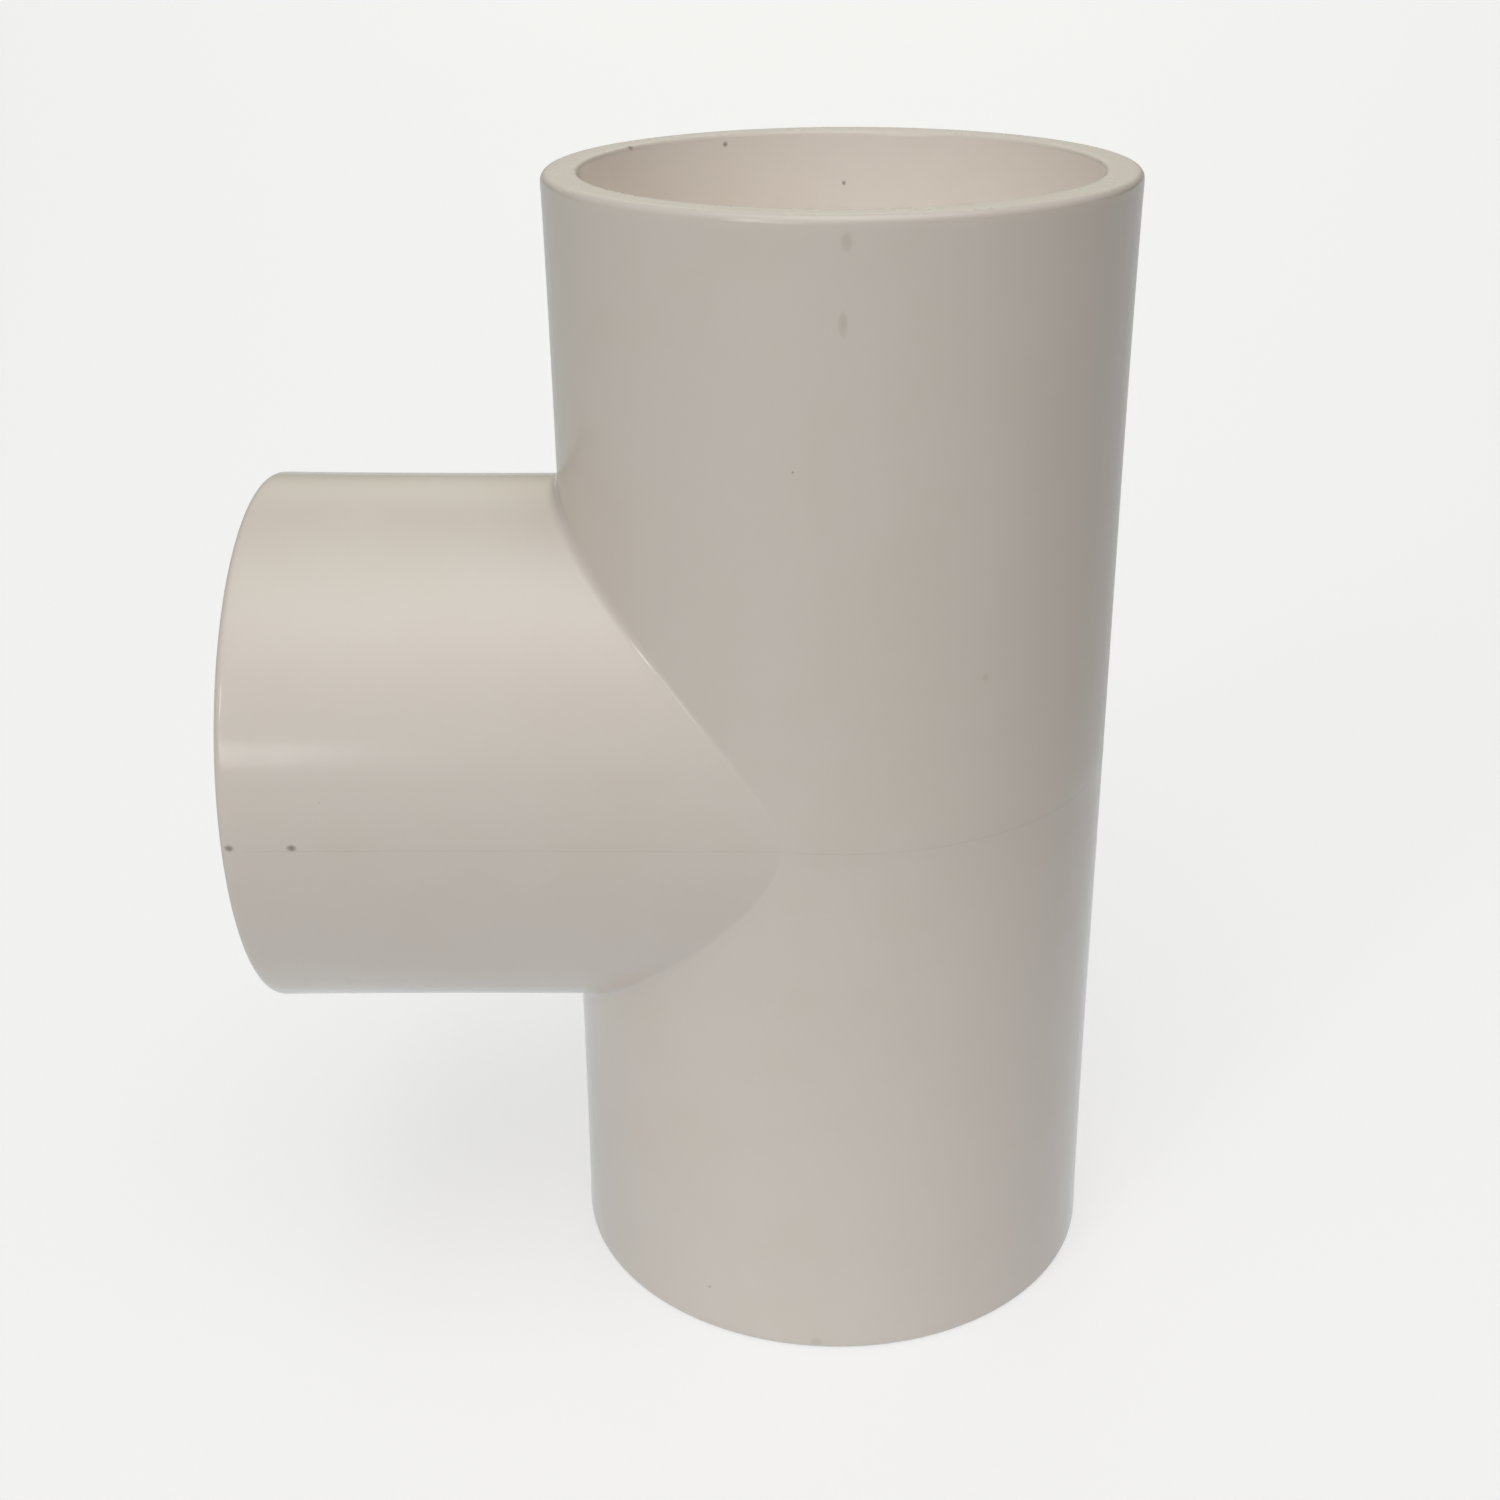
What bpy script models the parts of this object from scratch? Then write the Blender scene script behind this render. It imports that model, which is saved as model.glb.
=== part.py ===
"""Equal tee for 50 mm plastic pressure pipe: one moulding with three plain solvent-cement sockets.

The run stands along +Z and the branch points along -X. The fitting stands on its lower mouth, with the
world origin under the middle of its bounding box. All sizes are in metres.
"""

from math import asin, copysign, cos, pi, sin, sqrt

import bmesh
import bpy
from mathutils import Vector

# Sockets
MOUTH_BORE = 0.0503  # bore at a mouth, an easy fit on 50 mm pipe
STOP_BORE = 0.0500  # bore at the pipe stop, which grips the pipe's end
SOCKET_DEPTH = 0.031
REACH = 0.0595  # from the crossing of the axes to each mouth

# Outside
RUN_DIAMETER = 0.057
BRANCH_SHARE = 0.98  # branch size as a share of the run's, outside and in the waterway
MOUTH_FLARE = 0.0002  # how much each barrel's radius grows on its way to the mouth
JUNCTION_BLEND = 0.0012  # radius of the blend where the barrels meet

# Waterway
WATERWAY_DIAMETER = 0.0456
WATERWAY_BLEND = 0.0006

# Rounded edges
MOUTH_OUTER_ROUND = 0.0008
MOUTH_INNER_ROUND = 0.0005
STOP_ROUND = 0.0004

# Mesh fineness
AROUND = 64  # points round each barrel, a multiple of 4
BLEND_STEPS = 3
ROUND_STEPS = 2
ZONE_STEPS = 2  # rows between the junction and the first full ring
FLARE_STEPS = 2

RUN_RADIUS = RUN_DIAMETER / 2
BRANCH_RADIUS = RUN_RADIUS * BRANCH_SHARE
WATERWAY_RADIUS = WATERWAY_DIAMETER / 2
BRANCH_WATERWAY_RADIUS = WATERWAY_RADIUS * BRANCH_SHARE
STOP_DISTANCE = REACH - SOCKET_DEPTH
BARREL_START = RUN_RADIUS + 2 * JUNCTION_BLEND  # first full ring outside, clear of the blend
WATERWAY_END = STOP_DISTANCE - 3 * STOP_ROUND  # first full ring inside, clear of the stop's edge
RUN_AXIS_X = (REACH - RUN_RADIUS - MOUTH_FLARE) / 2  # centres the bounding box on the origin
ANGLES = [2 * pi * k / AROUND - pi for k in range(AROUND)]

MOULDING_COLOUR = (0.74, 0.70, 0.63, 1.0)
MOULDING_ROUGHNESS = 0.32


def clear_scene():
    for obj in list(bpy.data.objects):
        bpy.data.objects.remove(obj, do_unlink=True)


def mix(start, end, share):
    return start + (end - start) * share


def steps(count):
    """Shares from 0 to 1, both ends included."""
    return [i / count for i in range(count + 1)]


def quarter_round(radius, distance, size, start, turn=pi / 2):
    """A quarter circle about a point of a barrel's profile, as (radius, distance) pairs."""
    arc = [start + turn * share for share in steps(ROUND_STEPS)]
    return [(radius + size * cos(a), distance + size * sin(a)) for a in arc]


def barrel_profile(outer_radius, waterway_radius):
    """(radius, distance from the crossing) pairs, out along a barrel, over its mouth and in to its stop."""
    bore = MOUTH_BORE / 2
    stop = STOP_BORE / 2
    round_start = REACH - MOUTH_OUTER_ROUND
    edge_radius = outer_radius + MOUTH_FLARE - MOUTH_OUTER_ROUND
    return [
        *[
            (outer_radius + MOUTH_FLARE * share**2, mix(BARREL_START, round_start, share))
            for share in steps(FLARE_STEPS)[:-1]
        ],
        *quarter_round(edge_radius, round_start, MOUTH_OUTER_ROUND, 0),
        *quarter_round(bore + MOUTH_INNER_ROUND, REACH - MOUTH_INNER_ROUND, MOUTH_INNER_ROUND, pi / 2),
        *quarter_round(stop - STOP_ROUND, STOP_DISTANCE + STOP_ROUND, STOP_ROUND, 0, -pi / 2),
        *quarter_round(waterway_radius + STOP_ROUND, STOP_DISTANCE - STOP_ROUND, STOP_ROUND, pi / 2),
    ]


def run_point(turn, height, radius):
    """A point on the run: turn 0 faces the branch and a quarter turn faces +Y."""
    return Vector((-radius * cos(turn), radius * sin(turn), height))


def branch_point(angle, distance, radius):
    """A point on the branch: angle 0 is its top and a quarter turn is its +Y side."""
    return Vector((-distance, radius * sin(angle), radius * cos(angle)))


def blend_arc(angle, run_radius, branch_radius, blend):
    """Points from the run to the branch, on the ball of radius blend that touches both at this angle."""
    sideways = (branch_radius + blend) * sin(angle)
    outwards = sqrt((run_radius + blend) ** 2 - sideways**2)
    centre = branch_point(angle, outwards, branch_radius + blend)
    to_run = Vector((outwards, -sideways, 0)).normalized()
    to_branch = Vector((0, -sin(angle), -cos(angle)))
    return [centre + blend * to_run.slerp(to_branch, share) for share in steps(BLEND_STEPS)]


def run_start(angle, run_radius, branch_radius, blend):
    """(turn, height) of the run's points on the junction's upper half or, round the back, at mid-height."""
    side = asin((branch_radius + blend) / (run_radius + blend))
    if abs(angle) <= pi / 2:
        return asin(sin(side) * sin(angle)), (branch_radius + blend) * cos(angle)
    behind = mix(side, pi, abs(angle) * 2 / pi - 1)
    return copysign(behind, angle), 0.0


def run_zone(run_radius, branch_radius, blend, ring_height):
    """Loops up the run from the junction to the first full ring."""
    starts = [run_start(angle, run_radius, branch_radius, blend) for angle in ANGLES]
    return [
        [
            run_point(mix(turn, angle, share), mix(height, ring_height, share), run_radius)
            for angle, (turn, height) in zip(ANGLES, starts)
        ]
        for share in steps(ZONE_STEPS)
    ]


def branch_zone(arcs, branch_radius, ring_distance):
    """Loops out along the branch from the junction to the first full ring."""
    return [
        [
            branch_point(angle, mix(-arc[-1].x, ring_distance, share), branch_radius)
            for angle, arc in zip(ANGLES, arcs)
        ]
        for share in steps(ZONE_STEPS)
    ]


def loft(mesh, loops):
    """Quads between each closed loop of points and the next."""
    rings = [[mesh.verts.new(point) for point in loop] for loop in loops]
    for near, far in zip(rings, rings[1:]):
        for k in range(AROUND):
            mesh.faces.new((near[k - 1], near[k], far[k], far[k - 1]))


def tee_shape():
    """The closed skin: two run halves and the branch, each from the outer junction to the inner one."""
    mesh = bmesh.new()
    outside = (RUN_RADIUS, BRANCH_RADIUS, JUNCTION_BLEND)
    inside = (WATERWAY_RADIUS, BRANCH_WATERWAY_RADIUS, WATERWAY_BLEND)
    outer_arcs = [blend_arc(angle, *outside) for angle in ANGLES]
    inner_arcs = [blend_arc(angle, *inside) for angle in ANGLES]
    for arcs in (outer_arcs, inner_arcs):
        loft(mesh, list(zip(*arcs)))

    run_half = [
        *run_zone(*outside, BARREL_START)[:-1],
        *[
            [run_point(angle, height, radius) for angle in ANGLES]
            for radius, height in barrel_profile(RUN_RADIUS, WATERWAY_RADIUS)
        ],
        *run_zone(*inside, WATERWAY_END)[::-1],
    ]
    loft(mesh, run_half)
    loft(mesh, [[Vector((point.x, point.y, -point.z)) for point in loop] for loop in run_half])

    branch = [
        *branch_zone(outer_arcs, BRANCH_RADIUS, BARREL_START)[:-1],
        *[
            [branch_point(angle, distance, radius) for angle in ANGLES]
            for radius, distance in barrel_profile(BRANCH_RADIUS, BRANCH_WATERWAY_RADIUS)
        ],
        *branch_zone(inner_arcs, BRANCH_WATERWAY_RADIUS, WATERWAY_END)[::-1],
    ]
    loft(mesh, branch)

    bmesh.ops.remove_doubles(mesh, verts=mesh.verts, dist=1e-6)
    bmesh.ops.recalc_face_normals(mesh, faces=mesh.faces)
    return mesh


def moulding_material():
    material = bpy.data.materials.new("ivory_pvc")
    material.use_nodes = True
    shader = material.node_tree.nodes["Principled BSDF"]
    shader.inputs["Base Color"].default_value = MOULDING_COLOUR
    shader.inputs["Roughness"].default_value = MOULDING_ROUGHNESS
    shader.inputs["Metallic"].default_value = 0.0
    return material


def tee_moulding():
    mesh = bpy.data.meshes.new("tee_moulding")
    shape = tee_shape()
    shape.to_mesh(mesh)
    shape.free()
    mesh.materials.append(moulding_material())
    mesh.shade_smooth()
    mesh.set_sharp_from_angle(angle=pi / 6)
    moulding = bpy.data.objects.new("tee_moulding", mesh)
    moulding.location = (RUN_AXIS_X, 0.0, REACH)
    bpy.context.collection.objects.link(moulding)


clear_scene()
tee_moulding()
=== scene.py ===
from math import asin, atan2, copysign, cos, pi, radians, sin, sqrt

import bmesh
import bpy
from mathutils import Matrix, Vector


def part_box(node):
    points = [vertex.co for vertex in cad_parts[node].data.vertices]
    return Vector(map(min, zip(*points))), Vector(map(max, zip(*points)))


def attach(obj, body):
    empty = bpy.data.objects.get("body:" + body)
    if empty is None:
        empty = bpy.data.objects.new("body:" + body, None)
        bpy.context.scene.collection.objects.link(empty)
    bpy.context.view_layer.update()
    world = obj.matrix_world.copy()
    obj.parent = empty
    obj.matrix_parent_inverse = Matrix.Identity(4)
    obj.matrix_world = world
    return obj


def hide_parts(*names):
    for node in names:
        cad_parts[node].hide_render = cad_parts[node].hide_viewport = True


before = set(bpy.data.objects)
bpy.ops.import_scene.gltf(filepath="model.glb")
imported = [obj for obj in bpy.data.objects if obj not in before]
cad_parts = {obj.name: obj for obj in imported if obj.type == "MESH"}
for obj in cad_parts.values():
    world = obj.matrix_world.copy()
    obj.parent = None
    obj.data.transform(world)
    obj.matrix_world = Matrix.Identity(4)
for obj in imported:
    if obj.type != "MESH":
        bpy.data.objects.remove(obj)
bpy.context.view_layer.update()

mouldingLow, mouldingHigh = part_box("tee_moulding")
reach = (mouldingHigh.z - mouldingLow.z) / 2  # crossing of the axes to each mouth
mouthRadius = (mouldingHigh.y - mouldingLow.y) / 2
crossing = Vector((mouldingHigh.x - mouthRadius, 0, mouldingLow.z + reach))

tee = {
    "flare": 0.0002,  # the barrels widen this much on the way to their mouths
    "branchShare": 0.98,  # branch size against the run's
    "blend": 0.0012,  # where the barrels meet
    "mouthBore": 0.02515,
    "stopBore": 0.02500,
    "socketDepth": 0.031,
    "waterway": 0.0228,
    "waterwayBlend": 0.0006,
    "outerRound": 0.0008,
    "innerRound": 0.0005,
    "stopRound": 0.0004,
    "around": 256,  # a multiple of 4
    "zoneRows": 14,
    "flareRows": 8,
    "blendRows": 10,
    "roundRows": 6,
    "seamWidth": 0.00006,  # each way from the parting line
    "seamStep": 0.00002,
    "rimMargin": 0.0006,  # from a mouth's rounded edges to the rows that keep its faces flat
}
around = tee["around"]
runRadius = mouthRadius - tee["flare"]
branchRadius = runRadius * tee["branchShare"]
branchWaterway = tee["waterway"] * tee["branchShare"]
stopHeight = reach - tee["socketDepth"]
outerStart = runRadius + 2 * tee["blend"]  # first full ring clear of the junction, outside
innerStart = stopHeight - 3 * tee["stopRound"]  # and inside
turns = [2 * pi * i / around - pi for i in range(around)]
outside = (runRadius, branchRadius, tee["blend"])
inside = (tee["waterway"], branchWaterway, tee["waterwayBlend"])
tiny = 1e-6


def mix(start, end, share):
    return start + (end - start) * share


def shares(count):
    return [i / count for i in range(1, count + 1)]


def onRun(turn, height, radius):  # turn 0 faces the branch
    return Vector((-radius * cos(turn), radius * sin(turn), height))


def onBranch(turn, distance, radius):  # turn 0 is the branch's top
    return Vector((-distance, radius * sin(turn), radius * cos(turn)))


def onBlend(turn, run, branch, blend, share):  # share 0 touches the branch and 1 the run
    sideways = (branch + blend) * sin(turn)
    outwards = sqrt((run + blend) ** 2 - sideways ** 2)
    toRun = Vector((outwards, -sideways, 0)).normalized()
    toBranch = Vector((0, -sin(turn), -cos(turn)))
    return onBranch(turn, outwards, branch + blend) + blend * toBranch.slerp(toRun, share)


def runFoot(turn, run, branch, blend):  # turn and height where a column of the upper half ends
    side = asin((branch + blend) / (run + blend))
    if abs(turn) <= pi / 2:
        return asin(sin(side) * sin(turn)), (branch + blend) * cos(turn)
    return copysign(mix(side, pi, abs(turn) * 2 / pi - 1), turn), 0.0


def ringAt(mesh, radius, height):  # a sleeve's ring, in the order of turns
    ring = {}
    for v in mesh.verts:
        if abs(v.co.z - height) < tiny and abs(v.co.xy.length - radius) < tiny:
            ring[round((atan2(v.co.y, -v.co.x) + pi) * around / (2 * pi)) % around] = v
    return [ring[i] for i in range(around)]


def roundRing(mesh, radius, height, size):
    ring = ringAt(mesh, radius, height)
    edges = [mesh.edges.get((ring[i - 1], ring[i])) for i in range(around)]
    bmesh.ops.bevel(mesh, geom=edges, offset=size, offset_type="OFFSET", affect="EDGES",
                    segments=tee["roundRows"], profile=0.5, material=-1)


def makeSleeve(outerRadius, waterRadius):  # along +Z: out to the mouth, then in past the pipe stop
    flared = outerRadius + tee["flare"]
    outerMargin, innerMargin = (tee[edge] + tee["rimMargin"] for edge in ("outerRound", "innerRound"))
    corners = [(outerRadius, outerStart)]
    corners += [
        (outerRadius + tee["flare"] * share ** 2, mix(outerStart, reach, share))
        for share in shares(tee["flareRows"])[:-1]
    ]
    corners += [(flared, reach - outerMargin), (flared, reach), (flared - outerMargin, reach)]
    corners += [(tee["mouthBore"] + innerMargin, reach), (tee["mouthBore"], reach)]
    corners += [(tee["mouthBore"], reach - innerMargin), (tee["stopBore"], stopHeight)]
    corners += [(waterRadius, stopHeight), (waterRadius, innerStart)]
    mesh = bmesh.new()
    outline = [mesh.verts.new((-radius, 0, height)) for radius, height in corners]
    edges = [mesh.edges.new(pair) for pair in zip(outline, outline[1:])]
    bmesh.ops.spin(mesh, geom=outline + edges, cent=(0, 0, 0), axis=(0, 0, 1), angle=2 * pi,
                   steps=around, use_merge=True)
    roundRing(mesh, flared, reach, tee["outerRound"])
    roundRing(mesh, tee["mouthBore"], reach, tee["innerRound"])
    roundRing(mesh, tee["stopBore"], stopHeight, tee["stopRound"])
    roundRing(mesh, waterRadius, stopHeight, tee["stopRound"])
    return mesh


def growRing(mesh, ring, places):  # extrudes a closed ring and sets the new one in its places
    rim = [mesh.edges.get((ring[i - 1], ring[i])) for i in range(around)]
    made = bmesh.ops.extrude_edge_only(mesh, edges=rim)["geom"]
    made = {v for v in made if isinstance(v, bmesh.types.BMVert)}
    grown = [next(e.other_vert(v) for e in v.link_edges if e.other_vert(v) in made) for v in ring]
    for v, place in zip(grown, places):
        v.co = place
    return grown


def makeRun():  # the upper half down to the junction and, round the back, to mid-height, then mirrored
    mesh = makeSleeve(runRadius, tee["waterway"])
    for skin, start in ((outside, outerStart), (inside, innerStart)):
        feet = [runFoot(turn, *skin) for turn in turns]
        ring = ringAt(mesh, skin[0], start)
        for share in shares(tee["zoneRows"]):
            ring = growRing(mesh, ring, [
                onRun(mix(turn, footTurn, share), mix(start, footHeight, share), skin[0])
                for turn, (footTurn, footHeight) in zip(turns, feet)
            ])
    everything = mesh.verts[:] + mesh.edges[:] + mesh.faces[:]
    bmesh.ops.mirror(mesh, geom=everything, axis="Z", merge_dist=tiny)
    return mesh


def makeBranch():  # out to its mouth, and in to the junction and over the blend
    mesh = makeSleeve(branchRadius, branchWaterway)
    rings = [ringAt(mesh, branchRadius, outerStart), ringAt(mesh, branchWaterway, innerStart)]
    upright = Matrix(((0, 0, -1), (0, 1, 0), (-1, 0, 0)))  # the sleeve's turns become the branch's
    bmesh.ops.transform(mesh, verts=mesh.verts, matrix=upright.to_4x4())
    for ring, skin, start in zip(rings, (outside, inside), (outerStart, innerStart)):
        feet = [-onBlend(turn, *skin, 0).x for turn in turns]
        for share in shares(tee["zoneRows"]):
            ring = growRing(mesh, ring, [
                onBranch(turn, mix(start, foot, share), skin[1]) for turn, foot in zip(turns, feet)
            ])
        for share in shares(tee["blendRows"]):
            ring = growRing(mesh, ring, [onBlend(turn, *skin, share) for turn in turns])
    return mesh


def raiseSeam(mesh):  # the mould's halves close level with the branch, and the upper one stands a hair proud
    seamEnd = tee["outerRound"] * 2 - reach  # short of the mouth's rounded edge

    def onSeam(v):
        if v.co.x < -runRadius:
            return abs(v.co.z) < tiny and abs(v.co.y) > branchRadius - tiny and v.co.x > seamEnd
        return abs(v.co.z) < tiny and v.co.xy.length > runRadius - tiny

    seam = mesh.verts.layers.float.new("seam")
    edges = [e for e in mesh.edges if onSeam(e.verts[0]) and onSeam(e.verts[1])]
    made = bmesh.ops.bevel(mesh, geom=edges, offset=tee["seamWidth"], offset_type="OFFSET", affect="EDGES",
                           segments=1, profile=0.5, material=-1)["verts"]
    mesh.normal_update()
    for v in made:
        v[seam] = 1
        if v.co.z > tiny:
            v.co += v.normal * tee["seamStep"]
    print(f"tee: seam line of {len(made)} points")


def makeTee():
    run, branch = makeRun(), makeBranch()
    half = bpy.data.meshes.new("run")
    run.to_mesh(half)
    branch.from_mesh(half)
    bpy.data.meshes.remove(half)
    bmesh.ops.remove_doubles(branch, verts=branch.verts, dist=tiny)
    bmesh.ops.recalc_face_normals(branch, faces=branch.faces)
    raiseSeam(branch)
    bmesh.ops.translate(branch, verts=branch.verts, vec=crossing)
    mesh = bpy.data.meshes.new("tee")
    branch.to_mesh(mesh)
    branch.free()
    run.free()
    mesh.shade_smooth()
    moulding = bpy.data.objects.new("tee", mesh)
    bpy.context.collection.objects.link(moulding)
    print(f"tee: {len(mesh.polygons)} faces")
    return moulding


pvc = {
    "colour": (0.853, 0.772, 0.694, 1),
    "deeper": (0.843, 0.758, 0.672, 1),  # where the colour runs a little yellower
    "rim": (0.858, 0.783, 0.712, 1),  # rubbed mouths
    "dirt": (0.085, 0.05, 0.025, 1),
    "stain": (0.36, 0.31, 0.20, 1),
    "roughness": 0.14,
    "mottleRough": 0.04, "handledRough": 0.05, "scratchRough": 0.12, "wornRough": 0.20, "markRough": 0.20,
    "ior": 1.53,
    # the first of these darkens the seam's corner: painted shade with a little dirt
    "seamShadeTint": 0.12, "wornTint": 0.7, "stainTint": 0.30, "dirtTint": 0.7,
    "cloudSize": 0.035, "mottleSize": 0.009, "grainSize": 0.00035, "handledSize": 0.022,
    "waveSize": 0.014, "waveHeight": 0.00005,
    "peelSize": 0.0018, "peelHeight": 0.0000022,
    "grainHeight": 0.0000002,
    "fleckCell": 0.0045, "fleckSize": 0.00015, "fleckShare": 0.025,
    "hairWidth": 0.00003, "hairDepth": 0.0000005, "hairShare": 0.5,
    "hairLayers": [  # (turn, cell size)
        ((0.5, 0.2, 1.1), 0.011),
        ((1.9, 0.9, 0.3), 0.007),
        ((0.1, 2.2, 0.8), 0.016),
    ],
    "rimDepth": 0.0008,
    "ragged": 0.6,  # how uneven a fleck's edge is
}
millimetre = 0.001
flecks = [  # (barrel, turn in degrees, then along, radius, half width and half length in mm, kind)
    ("branch", -89.3, 58.5, 28.05, 0.36, 0.50, "dirt"),
    ("branch", -89.3, 52.5, 28.00, 0.36, 0.50, "dirt"),
    ("run", 92, 54.0, 25.12, 0.22, 0.26, "dirt"),
    ("run", 33, 59.4, 25.25, 0.42, 0.30, "dirt"),
    ("run", 62, 58.5, 25.15, 0.30, 0.30, "dirt"),
    ("run", -118, 16.8, 28.50, 0.30, 0.35, "stain"),
    ("run", -90, 57.3, 28.65, 0.50, 0.80, "stain"),
    ("run", -89.5, 50.4, 28.60, 0.42, 1.10, "stain"),
    ("run", -86, -58.5, 28.65, 0.65, 0.55, "stain"),
]


def node(tree, kind, sockets=None, **settings):  # sockets take a number, a colour or a node's output
    made = tree.nodes.new(kind)
    for name, value in settings.items():
        setattr(made, name, value)
    for name, value in (sockets or {}).items():
        if isinstance(value, bpy.types.NodeSocket):
            tree.links.new(value, made.inputs[name])
        else:
            made.inputs[name].default_value = value
    return made


def newGroup(name, inputs, outputs):
    tree = bpy.data.node_groups.new(name, "ShaderNodeTree")
    for side, sockets in (("INPUT", inputs), ("OUTPUT", outputs)):
        for label, kind in sockets.items():
            tree.interface.new_socket(label, in_out=side, socket_type=kind)
    return tree, tree.nodes.new("NodeGroupInput").outputs, tree.nodes.new("NodeGroupOutput").inputs


def makeFleckGroup():  # a small soft-edged blot at one place
    tree, given, result = newGroup(
        "blot",
        {"Coordinates": "NodeSocketVector", "Place": "NodeSocketVector", "Size": "NodeSocketVector",
         "Ragged": "NodeSocketFloat"},
        {"Mask": "NodeSocketFloat"},
    )
    offset = node(tree, "ShaderNodeVectorMath", {0: given["Coordinates"], 1: given["Place"]},
                  operation="SUBTRACT")
    scaled = node(tree, "ShaderNodeVectorMath", {0: offset.outputs[0], 1: given["Size"]}, operation="DIVIDE")
    away = node(tree, "ShaderNodeVectorMath", {0: scaled.outputs[0]}, operation="LENGTH")
    uneven = node(tree, "ShaderNodeTexNoise", {"Vector": scaled.outputs[0], "Scale": 1.3, "Detail": 3.0})
    distances = {0: uneven.outputs[0], 1: given["Ragged"], 2: away.outputs["Value"]}
    ragged = node(tree, "ShaderNodeMath", distances, operation="MULTIPLY_ADD")
    mask = node(tree, "ShaderNodeMapRange", {"Value": ragged.outputs[0], "From Min": 0.4, "From Max": 1.6,
                                             "To Min": 1.0, "To Max": 0.0}, interpolation_type="SMOOTHSTEP")
    tree.links.new(mask.outputs[0], result["Mask"])
    return tree


def makeHairlineGroup():  # fine straight scratches: one thin slab in some of the cells of a coarse pattern
    tree, given, result = newGroup(
        "hairlines",
        {"Coordinates": "NodeSocketVector", "Turn": "NodeSocketVector", "Cell": "NodeSocketFloat",
         "Width": "NodeSocketFloat", "Share": "NodeSocketFloat"},
        {"Mask": "NodeSocketFloat"},
    )
    turned = node(tree, "ShaderNodeVectorRotate", {"Vector": given["Coordinates"], "Rotation": given["Turn"]},
                  rotation_type="EULER_XYZ")
    finer = node(tree, "ShaderNodeMath", {0: 1.0, 1: given["Cell"]}, operation="DIVIDE")
    cells = node(tree, "ShaderNodeTexVoronoi", {"Vector": turned.outputs[0], "Scale": finer.outputs[0]})
    offset = node(tree, "ShaderNodeVectorMath", {0: turned.outputs[0], 1: cells.outputs["Position"]},
                  operation="SUBTRACT")
    across = node(tree, "ShaderNodeSeparateXYZ", {0: offset.outputs[0]})
    away = node(tree, "ShaderNodeMath", {0: across.outputs["X"]}, operation="ABSOLUTE")
    thin = node(tree, "ShaderNodeMapRange", {"Value": away.outputs[0], "From Min": 0.0, "To Min": 1.0,
                                             "From Max": given["Width"], "To Max": 0.0})
    ends = node(tree, "ShaderNodeMapRange", {"Value": cells.outputs["Distance"], "From Min": 0.2,
                                             "From Max": 0.55, "To Min": 1.0, "To Max": 0.0})
    chance = node(tree, "ShaderNodeSeparateColor", {0: cells.outputs["Color"]})
    chosen = node(tree, "ShaderNodeMath", {0: chance.outputs[0], 1: given["Share"]}, operation="LESS_THAN")
    mask = node(tree, "ShaderNodeMath", {0: thin.outputs[0], 1: ends.outputs[0]}, operation="MULTIPLY")
    mask = node(tree, "ShaderNodeMath", {0: mask.outputs[0], 1: chosen.outputs[0]}, operation="MULTIPLY")
    mask = node(tree, "ShaderNodeMath", {0: mask.outputs[0], 1: chance.outputs[1]}, operation="MULTIPLY")
    tree.links.new(mask.outputs[0], result["Mask"])
    return tree


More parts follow.
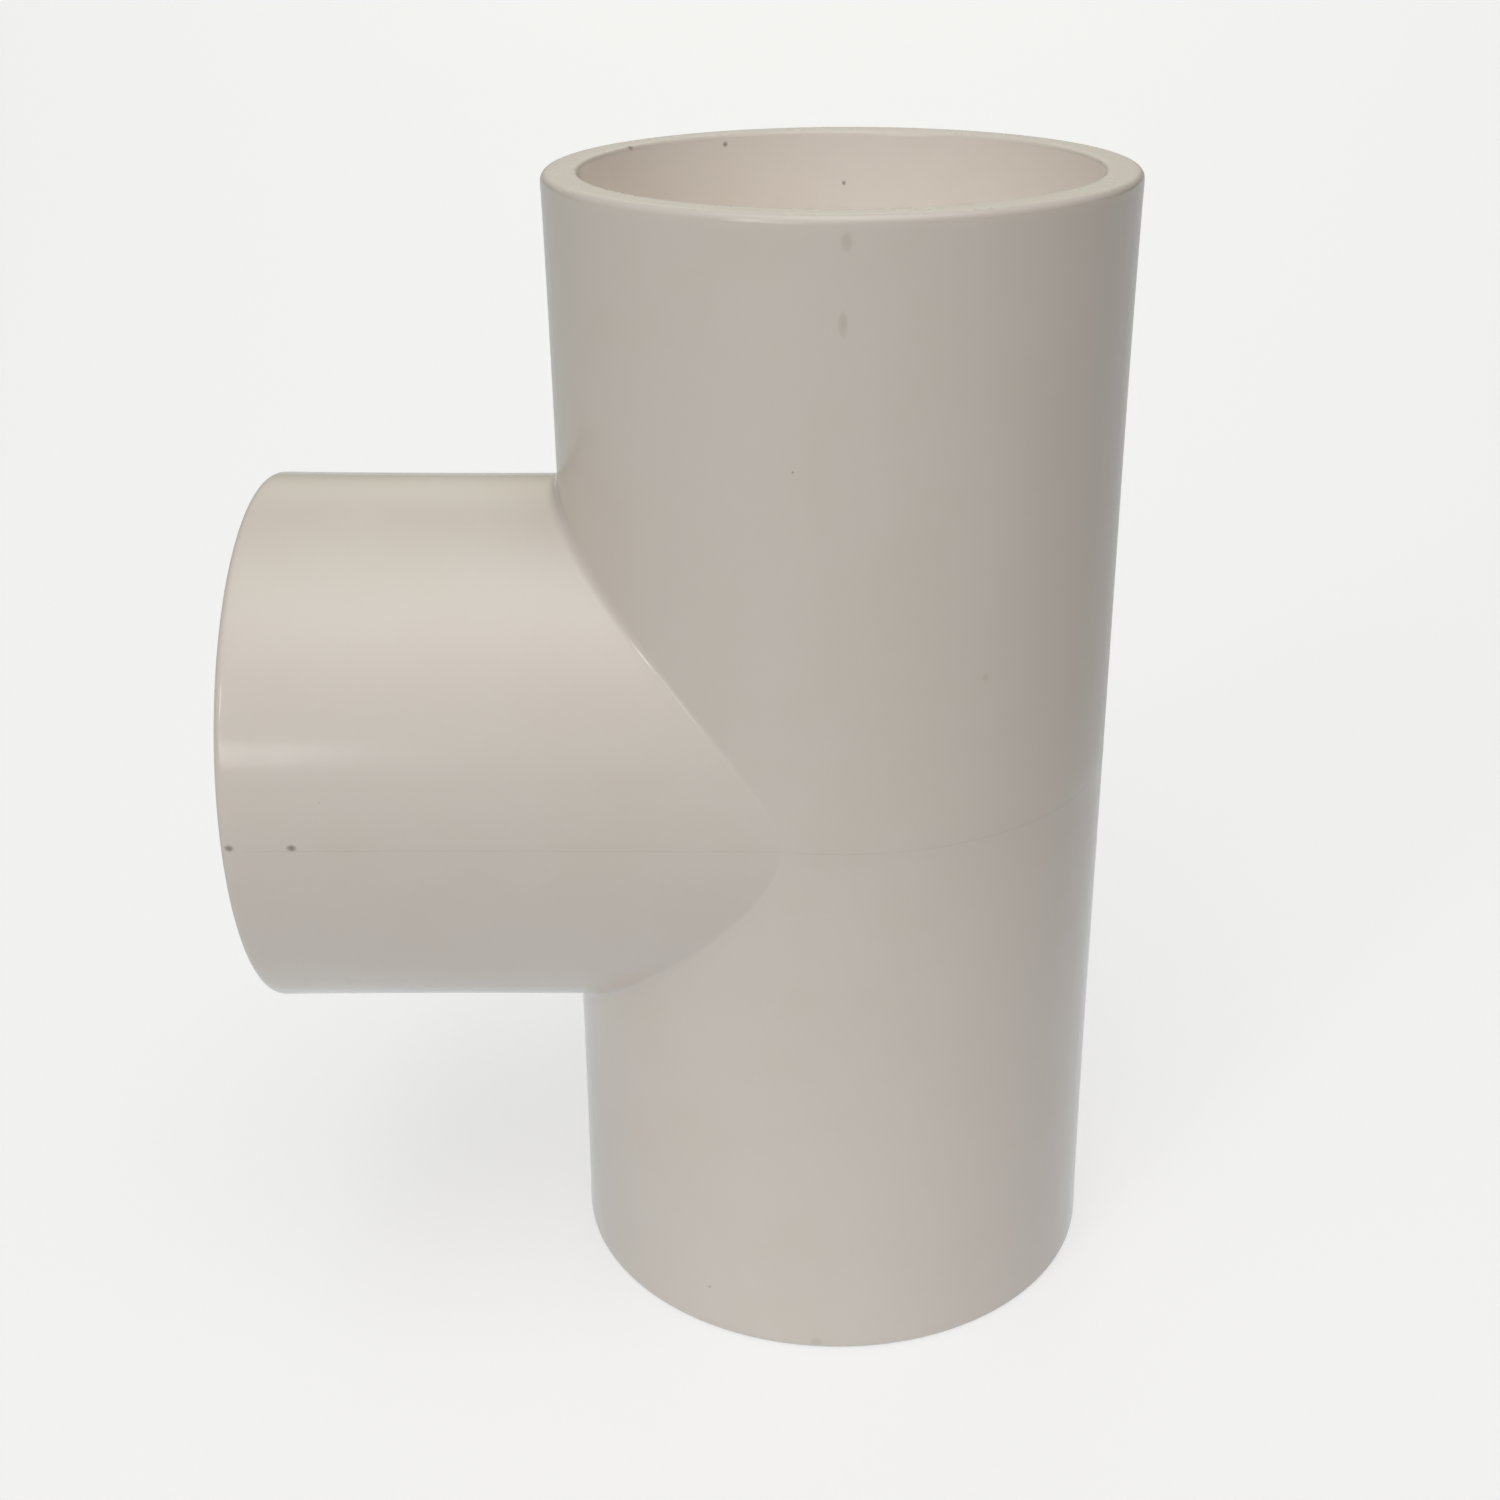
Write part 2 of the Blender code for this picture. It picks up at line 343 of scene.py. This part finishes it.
def makePvc():
    material = bpy.data.materials.new("ivoryPvc")
    material.use_nodes = True
    tree = material.node_tree
    shader = tree.nodes["Principled BSDF"]

    def math(operation, first, second=0.0, third=0.0):
        return node(tree, "ShaderNodeMath", {0: first, 1: second, 2: third}, operation=operation).outputs[0]

    def ramp(value, low, high, start=0.0, end=1.0):
        sockets = {"Value": value, "From Min": low, "From Max": high, "To Min": start, "To Max": end}
        return node(tree, "ShaderNodeMapRange", sockets, interpolation_type="SMOOTHSTEP").outputs[0]

    def blend(share, first, second):
        sockets = {"Factor": share, "A": first, "B": second}
        made = tree.nodes.new("ShaderNodeMix")
        made.data_type = "RGBA"
        for name, value in sockets.items():
            kind = "VALUE" if name == "Factor" else "RGBA"
            socket = next(s for s in made.inputs if s.name == name and s.type == kind)
            if isinstance(value, bpy.types.NodeSocket):
                tree.links.new(value, socket)
            else:
                socket.default_value = value
        return next(s for s in made.outputs if s.type == "RGBA")

    # distances are in metres from the crossing of the axes
    place = node(tree, "ShaderNodeTexCoord").outputs["Object"]
    place = node(tree, "ShaderNodeMapping", {"Vector": place, "Location": -crossing}).outputs[0]

    def noise(size, detail=2.0, roughness=0.5):
        sockets = {"Vector": place, "Scale": 1 / size, "Detail": detail, "Roughness": roughness}
        return node(tree, "ShaderNodeTexNoise", sockets).outputs[0]

    cloud = noise(pvc["cloudSize"], 3.0)
    mottle = noise(pvc["mottleSize"], 4.0, 0.6)
    grain = noise(pvc["grainSize"], 1.0)

    # how near a mouth's face: the run's are across z and the branch's is across -x
    axes = node(tree, "ShaderNodeSeparateXYZ", {0: place}).outputs
    along = math("MAXIMUM", math("ABSOLUTE", axes["Z"]), math("MULTIPLY", axes["X"], -1.0))
    rim = ramp(along, reach - pvc["rimDepth"], reach)
    worn = math("MULTIPLY", rim, ramp(mottle, 0.35, 0.65, 0.35, 1.0))

    colour = blend(ramp(math("ADD", cloud, mottle), 0.8, 1.2), pvc["colour"], pvc["deeper"])
    colour = blend(math("MULTIPLY", worn, pvc["wornTint"]), colour, pvc["rim"])

    # tiny inclusions here and there
    cells = node(tree, "ShaderNodeTexVoronoi", {"Vector": place, "Scale": 1 / pvc["fleckCell"]})
    chosen = node(tree, "ShaderNodeSeparateColor", {0: cells.outputs["Color"]}).outputs
    near = math("DIVIDE", cells.outputs["Distance"], pvc["fleckSize"] / pvc["fleckCell"])
    dots = math("MULTIPLY", ramp(near, 0.7, 1.3, 1.0, 0.0), math("LESS_THAN", chosen[0], pvc["fleckShare"]))
    dots = math("MULTIPLY", dots, ramp(chosen[1], 0.0, 1.0, 0.25, 0.8))
    marks = {"dirt": dots, "stain": 0.0}
    blot = makeFleckGroup()
    for barrel, turn, along, radius, across, length, kind in flecks:
        onBarrel = onRun if barrel == "run" else onBranch
        spot = onBarrel(radians(turn), along, radius)
        size = (across, across, length) if barrel == "run" else (length, across, across)
        made = node(tree, "ShaderNodeGroup", node_tree=blot)
        tree.links.new(place, made.inputs["Coordinates"])
        made.inputs["Place"].default_value = spot * millimetre
        made.inputs["Size"].default_value = Vector(size) * millimetre
        made.inputs["Ragged"].default_value = pvc["ragged"]
        marks[kind] = math("MAXIMUM", marks[kind], made.outputs["Mask"])
    colour = blend(math("MULTIPLY", marks["stain"], pvc["stainTint"]), colour, pvc["stain"])
    colour = blend(math("MULTIPLY", marks["dirt"], pvc["dirtTint"]), colour, pvc["dirt"])

    # painted shade: the seam's corner is darkened as if shaded by its step, broken up by the mottle like a
    # little dirt
    seam = node(tree, "ShaderNodeAttribute", attribute_name="seam").outputs["Fac"]
    seamShade = ramp(math("ABSOLUTE", axes["Z"]), tee["seamWidth"] * 0.5, tee["seamWidth"] * 1.6, 1.0, 0.0)
    seamShade = math("MULTIPLY", seamShade, math("MULTIPLY", seam, ramp(mottle, 0.3, 0.6, 0.4, 1.0)))
    colour = blend(math("MULTIPLY", seamShade, pvc["seamShadeTint"]), colour, pvc["stain"])
    tree.links.new(colour, shader.inputs["Base Color"])

    # fine scratches, kept off the mouths' faces
    hairlines = makeHairlineGroup()
    scratches = 0.0
    for turn, cell in pvc["hairLayers"]:
        made = node(tree, "ShaderNodeGroup", node_tree=hairlines)
        tree.links.new(place, made.inputs["Coordinates"])
        made.inputs["Turn"].default_value = turn
        made.inputs["Cell"].default_value = cell
        made.inputs["Width"].default_value = pvc["hairWidth"]
        made.inputs["Share"].default_value = pvc["hairShare"]
        scratches = math("MAXIMUM", scratches, made.outputs["Mask"])
    scratches = math("MULTIPLY", scratches, math("SUBTRACT", 1.0, rim))

    handled = ramp(noise(pvc["handledSize"], 3.0), 0.45, 0.75)  # where it has been gripped
    roughness = math("MULTIPLY_ADD", mottle, pvc["mottleRough"], pvc["roughness"] - pvc["mottleRough"] / 2)
    roughness = math("MULTIPLY_ADD", handled, pvc["handledRough"], roughness)
    roughness = math("MULTIPLY_ADD", scratches, pvc["scratchRough"], roughness)
    roughness = math("MULTIPLY_ADD", worn, pvc["wornRough"], roughness)
    marked = math("MAXIMUM", marks["dirt"], marks["stain"])
    roughness = math("MULTIPLY_ADD", marked, pvc["markRough"], roughness)
    tree.links.new(roughness, shader.inputs["Roughness"])

    height = math("MULTIPLY", noise(pvc["waveSize"], 1.0), pvc["waveHeight"])
    height = math("MULTIPLY_ADD", noise(pvc["peelSize"], 1.0), pvc["peelHeight"], height)
    height = math("MULTIPLY_ADD", grain, pvc["grainHeight"], height)
    height = math("MULTIPLY_ADD", scratches, -pvc["hairDepth"], height)
    bump = node(tree, "ShaderNodeBump", {"Height": height, "Distance": 1.0, "Strength": 1.0})
    tree.links.new(bump.outputs[0], shader.inputs["Normal"])
    shader.inputs["IOR"].default_value = pvc["ior"]
    print(f"pvc: {len(tree.nodes)} nodes, {len(flecks)} placed flecks")
    return material


moulding = makeTee()
moulding.data.materials.append(makePvc())
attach(moulding, "root")
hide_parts("tee_moulding")

floor = {
    "width": 60.0,
    "colour": (0.46, 0.46, 0.46, 1),
    "lift": 0.57,  # glow that only the camera sees, so the floor looks white all over
    "shine": 0.26,  # and some that only shows in the gloss
    "glow": 0.24, "glowColour": (0.93, 1, 1.07, 1),  # and a little that only the object gets, from close by
    "glowStart": 0.075, "glowEnd": 0.19,
    "roughness": 0.55,
}


def makeFloor():
    mesh = bmesh.new()
    bmesh.ops.create_grid(mesh, x_segments=1, y_segments=1, size=floor["width"] / 2)
    bmesh.ops.translate(mesh, verts=mesh.verts, vec=(0, 0, mouldingLow.z))
    data = bpy.data.meshes.new("floor")
    mesh.to_mesh(data)
    mesh.free()
    material = bpy.data.materials.new("floorPaint")
    material.use_nodes = True
    tree = material.node_tree
    shader = tree.nodes["Principled BSDF"]
    shader.inputs["Base Color"].default_value = floor["colour"]
    shader.inputs["Roughness"].default_value = floor["roughness"]
    place = node(tree, "ShaderNodeTexCoord").outputs["Object"]
    away = node(tree, "ShaderNodeVectorMath", {0: place, 1: crossing.xy.to_3d()}, operation="DISTANCE")
    glow = node(tree, "ShaderNodeMapRange", {"Value": away.outputs["Value"], "From Min": floor["glowStart"],
                                             "From Max": floor["glowEnd"], "To Min": floor["glow"],
                                             "To Max": 0.0})
    rays = node(tree, "ShaderNodeLightPath").outputs
    camera = rays["Is Camera Ray"]
    glow = node(tree, "ShaderNodeMath", {0: rays["Is Glossy Ray"], 1: floor["shine"], 2: glow.outputs[0]},
                operation="MULTIPLY_ADD")
    lift = node(tree, "ShaderNodeMapRange", {"Value": camera, "To Min": glow.outputs[0],
                                             "To Max": floor["lift"]})
    tree.links.new(lift.outputs[0], shader.inputs["Emission Strength"])
    tint = node(tree, "ShaderNodeMixRGB", {0: camera, 1: floor["glowColour"], 2: (1, 1, 1, 1)})
    tree.links.new(tint.outputs[0], shader.inputs["Emission Color"])
    data.materials.append(material)
    ground = bpy.data.objects.new("floor", data)
    bpy.context.collection.objects.link(ground)
    return ground


makeFloor()

skyColour = (0.93, 0.93, 0.925, 1)  # what the camera sees above the floor
softness = 10.0  # higher gives smaller, harder lights
softLights = {  # bearing is left of the camera's side and height above the floor, in degrees
    "key": {"bearing": 0, "height": 68, "strength": 1.53, "colour": (1, 0.98, 1.02)},
    "front": {"bearing": 15, "height": 18, "strength": 0.86, "colour": (0.93, 1, 1.06)},
    "left": {"bearing": 20, "height": 45, "strength": 0.28, "colour": (1.08, 1, 0.92)},
    "right": {"bearing": -70, "height": 55, "strength": 0.2, "colour": (1.4, 0.8, 0.5)},
    "top": {"bearing": 0, "height": 90, "strength": 1.19, "colour": (0.94, 1.06, 1)},
    "back": {"bearing": 180, "height": 25, "strength": 0.85, "colour": (1.06, 1.05, 0.89)},
}
windows = {
    "lowWindow": {"bearing": 28.7, "height": 14.5, "width": 0.57, "tall": 0.19, "watts": 0.8,
                  "colour": (0.97, 1, 0.97)},
    "highWindow": {"bearing": 36, "height": 31, "width": 0.13, "tall": 0.26, "watts": 0.85,
                   "colour": (1.02, 1, 0.96)},
}
windowDistance = 1.2
boreLight = {"width": 0.016, "watts": 0.0092, "colour": (0.88, 1, 1.10)}  # what thin walls let in


def towards(bearing, height):
    bearing, height = radians(bearing), radians(height)
    return Vector((-sin(bearing) * cos(height), -cos(bearing) * cos(height), sin(height)))


def makeSky():  # a dark dome with soft bright patches
    world = bpy.data.worlds.new("studio")
    world.use_nodes = True
    bpy.context.scene.world = world
    tree = world.node_tree
    background = tree.nodes["Background"]
    facing = node(tree, "ShaderNodeTexCoord").outputs["Generated"]
    light = (0.0, 0.0, 0.0)
    for lamp in softLights.values():
        aimed = node(tree, "ShaderNodeVectorMath", {0: facing, 1: towards(lamp["bearing"], lamp["height"])},
                     operation="DOT_PRODUCT")
        front = node(tree, "ShaderNodeMath", {0: aimed.outputs["Value"], 1: 0.0}, operation="MAXIMUM")
        patch = node(tree, "ShaderNodeMath", {0: front.outputs[0], 1: softness}, operation="POWER")
        tinted = node(tree, "ShaderNodeVectorMath", {0: [c * lamp["strength"] for c in lamp["colour"]],
                                                     "Scale": patch.outputs[0]}, operation="SCALE")
        light = node(tree, "ShaderNodeVectorMath", {0: tinted.outputs[0], 1: light},
                     operation="ADD").outputs[0]
    tree.links.new(light, background.inputs["Color"])
    backdrop = node(tree, "ShaderNodeBackground", {"Color": skyColour})
    rays = node(tree, "ShaderNodeLightPath").outputs
    shown = node(tree, "ShaderNodeMixShader", {0: rays["Is Camera Ray"]})
    tree.links.new(background.outputs[0], shown.inputs[1])
    tree.links.new(backdrop.outputs[0], shown.inputs[2])
    tree.links.new(shown.outputs[0], tree.nodes["World Output"].inputs["Surface"])


def addLamp(name, lamp, shape, place, direction):
    data = bpy.data.lights.new(name, "AREA")
    data.shape = shape
    data.size = lamp["width"]
    data.size_y = lamp.get("tall", lamp["width"])
    data.energy = lamp["watts"]
    data.color = lamp["colour"]
    made = bpy.data.objects.new(name, data)
    made.location = place
    made.rotation_euler = direction.to_track_quat("Z", "Y").to_euler()
    made.visible_camera = False
    bpy.context.collection.objects.link(made)
    return made


makeSky()
for name, window in windows.items():
    direction = towards(window["bearing"], window["height"])
    addLamp(name, window, "RECTANGLE", crossing + direction * windowDistance, direction)
inBore = addLamp("boreLight", boreLight, "DISK", crossing, Vector((0, 0, -1)))
inBore.visible_glossy = False
print(f"lights: {len(softLights)} soft patches, {len(windows)} windows and a lamp in the bore")

view = {
    "place": (-0.003964, -0.198209, 0.087658),  # from the crossing of the axes
    "yaw": 0.0266, "pitch": -0.4246, "roll": 0.0102,
    "lens": 48.17,
}


def makeCamera():
    data = bpy.data.cameras.new("camera")
    data.lens = view["lens"]
    data.sensor_width = 36
    data.clip_start = 0.01
    camera = bpy.data.objects.new("camera", data)
    turn = Matrix.Rotation(view["yaw"], 4, "Z") @ Matrix.Rotation(view["pitch"], 4, "X")
    turn = turn @ Matrix.Rotation(view["roll"], 4, "Y") @ Matrix.Rotation(pi / 2, 4, "X")
    camera.matrix_world = Matrix.Translation(crossing + Vector(view["place"])) @ turn
    bpy.context.collection.objects.link(camera)
    bpy.context.scene.camera = camera
    print("camera: in place")


makeCamera()
bpy.context.scene.view_settings.view_transform = "Standard"
